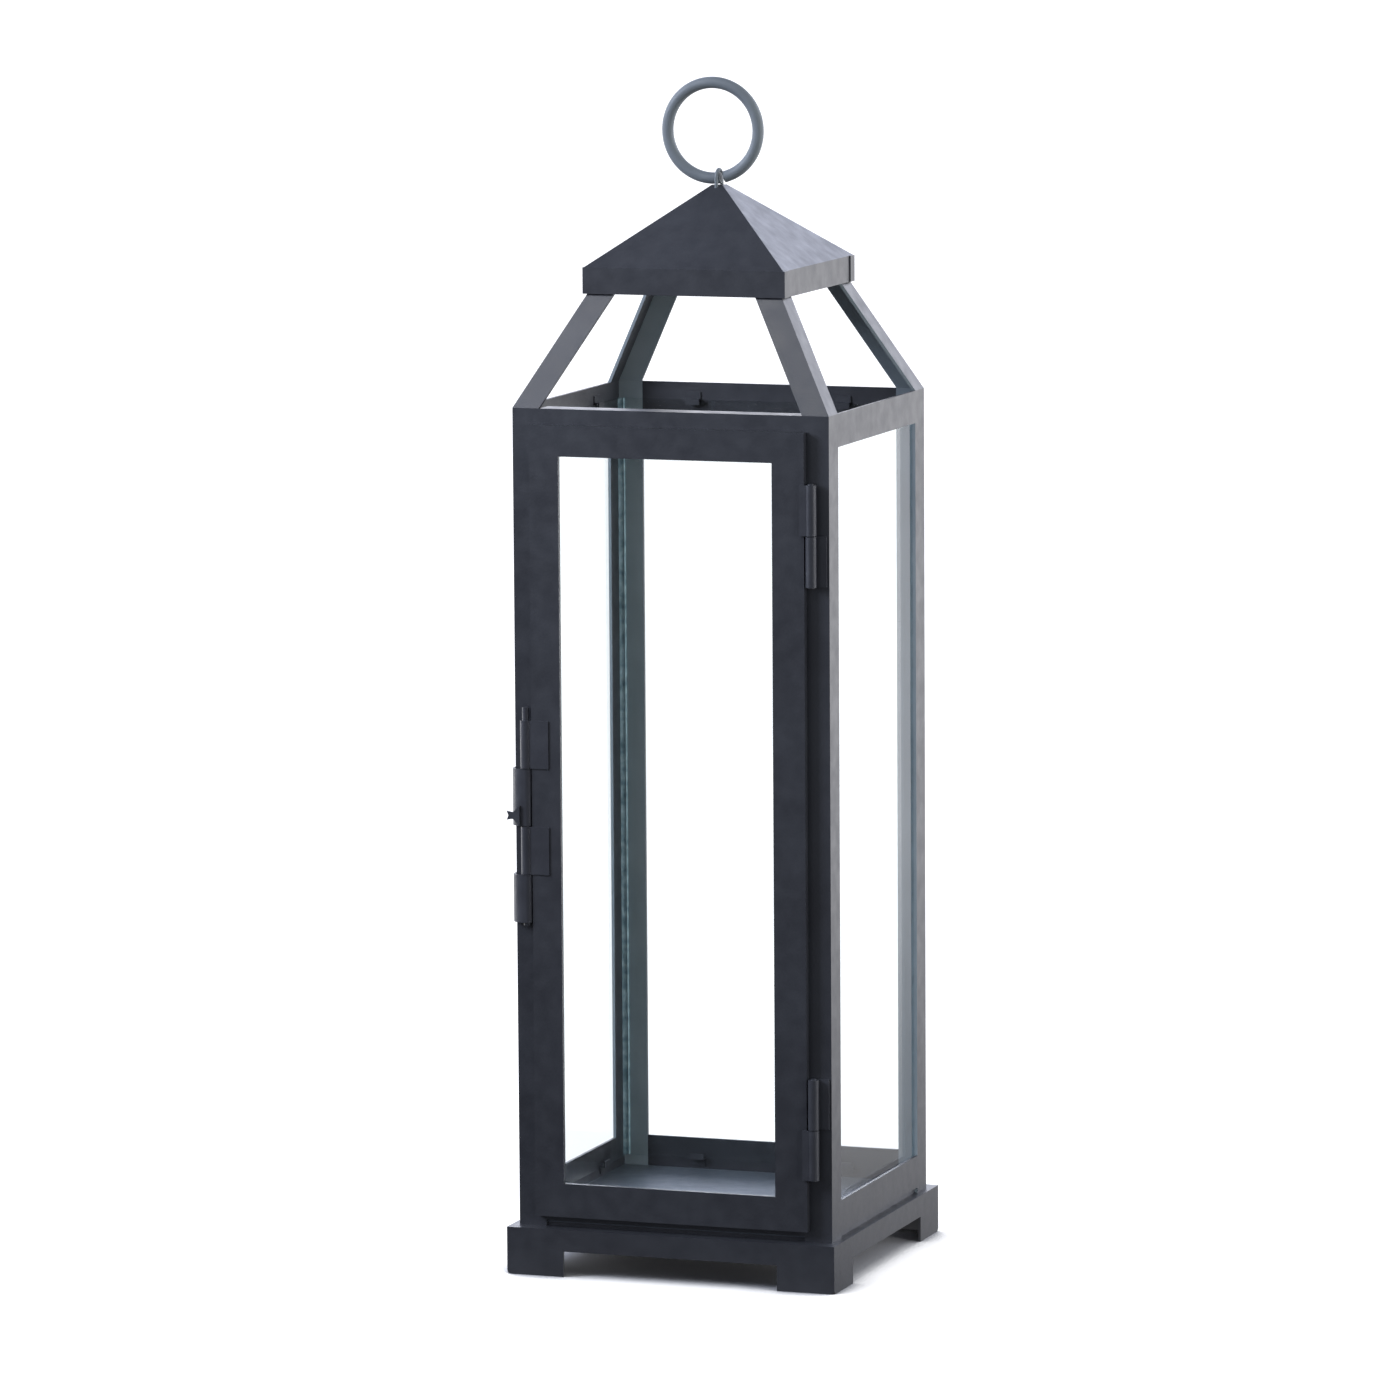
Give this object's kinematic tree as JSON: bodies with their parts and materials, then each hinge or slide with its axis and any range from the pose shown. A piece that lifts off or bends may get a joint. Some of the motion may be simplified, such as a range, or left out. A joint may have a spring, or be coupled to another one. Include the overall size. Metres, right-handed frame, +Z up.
{
  "type": "candle lantern",
  "caption": "Tall rectangular candle lantern: painted sheet-steel frame with clear panes, hinged latched door, open gallery, pyramid roof and hanging ring.",
  "frame": {"origin": "centre of the footprint, on the plane the feet stand on", "axes": "+X to the right along the front, +Y to the back, +Z up towards the hanging ring"},
  "size_m": [0.137, 0.1334, 0.4723],
  "materials": {
    "frame_paint": "satin charcoal paint on sheet steel",
    "hardware_paint": "satin charcoal paint, slightly thicker, on rolled sheet steel",
    "ring_paint": "satin charcoal paint on steel wire",
    "clip_steel": "satin charcoal paint on thin bent strip",
    "clear_glass": "clear sheet glass with blue-green cut edges"
  },
  "bodies": {
    "lantern": {"base_tray": "frame_paint", "post_front_left": "frame_paint", "post_front_right": "frame_paint", "post_rear_left": "frame_paint", "post_rear_right": "frame_paint", "bottom_rail_front": "frame_paint", "bottom_rail_rear": "frame_paint", "bottom_rail_left": "frame_paint", "bottom_rail_right": "frame_paint", "top_rail_front": "frame_paint", "top_rail_rear": "frame_paint", "top_rail_left": "frame_paint", "top_rail_right": "frame_paint", "strut_front_left": "frame_paint", "strut_front_right": "frame_paint", "strut_rear_left": "frame_paint", "strut_rear_right": "frame_paint", "roof_cap": "frame_paint", "ring_eye": "ring_paint", "glass_left": "clear_glass", "glass_right": "clear_glass", "glass_rear": "clear_glass", "glass_clips_left": "clip_steel", "glass_clips_right": "clip_steel", "glass_clips_rear": "clip_steel", "hinge_upper_post_leaf": "hardware_paint", "hinge_upper_pin": "hardware_paint", "hinge_lower_post_leaf": "hardware_paint", "hinge_lower_pin": "hardware_paint"},
    "door": {"door_stile_left": "frame_paint", "door_stile_right": "frame_paint", "door_rail_top": "frame_paint", "door_rail_bottom": "frame_paint", "door_glass": "clear_glass", "door_glass_clips": "clip_steel", "hinge_upper_door_leaf": "hardware_paint", "hinge_lower_door_leaf": "hardware_paint", "latch_guide_upper": "hardware_paint", "latch_guide_lower": "hardware_paint"},
    "latch": {"latch_rod": "hardware_paint", "latch_hook_upper": "hardware_paint", "latch_hook_lower": "hardware_paint", "latch_lever": "hardware_paint"},
    "ring": {"hanging_ring": "ring_paint"}
  },
  "joints": [
    {"name": "door_swing", "type": "hinge", "parent": "lantern", "child": "door", "pos_m": [0.0589, -0.0627, 0.18], "axis": [0, 0, 1], "range_deg": [0, 180]},
    {"name": "latch_turn", "type": "hinge", "parent": "door", "child": "latch", "pos_m": [-0.0601, -0.0627, 0.18], "axis": [0, 0, 1], "range_deg": [0, 95]},
    {"name": "ring_swing", "type": "hinge", "parent": "lantern", "child": "ring", "pos_m": [0, 0, 0.4324], "axis": [1, 0, 0], "range_deg": [-110, 110]}
  ]
}
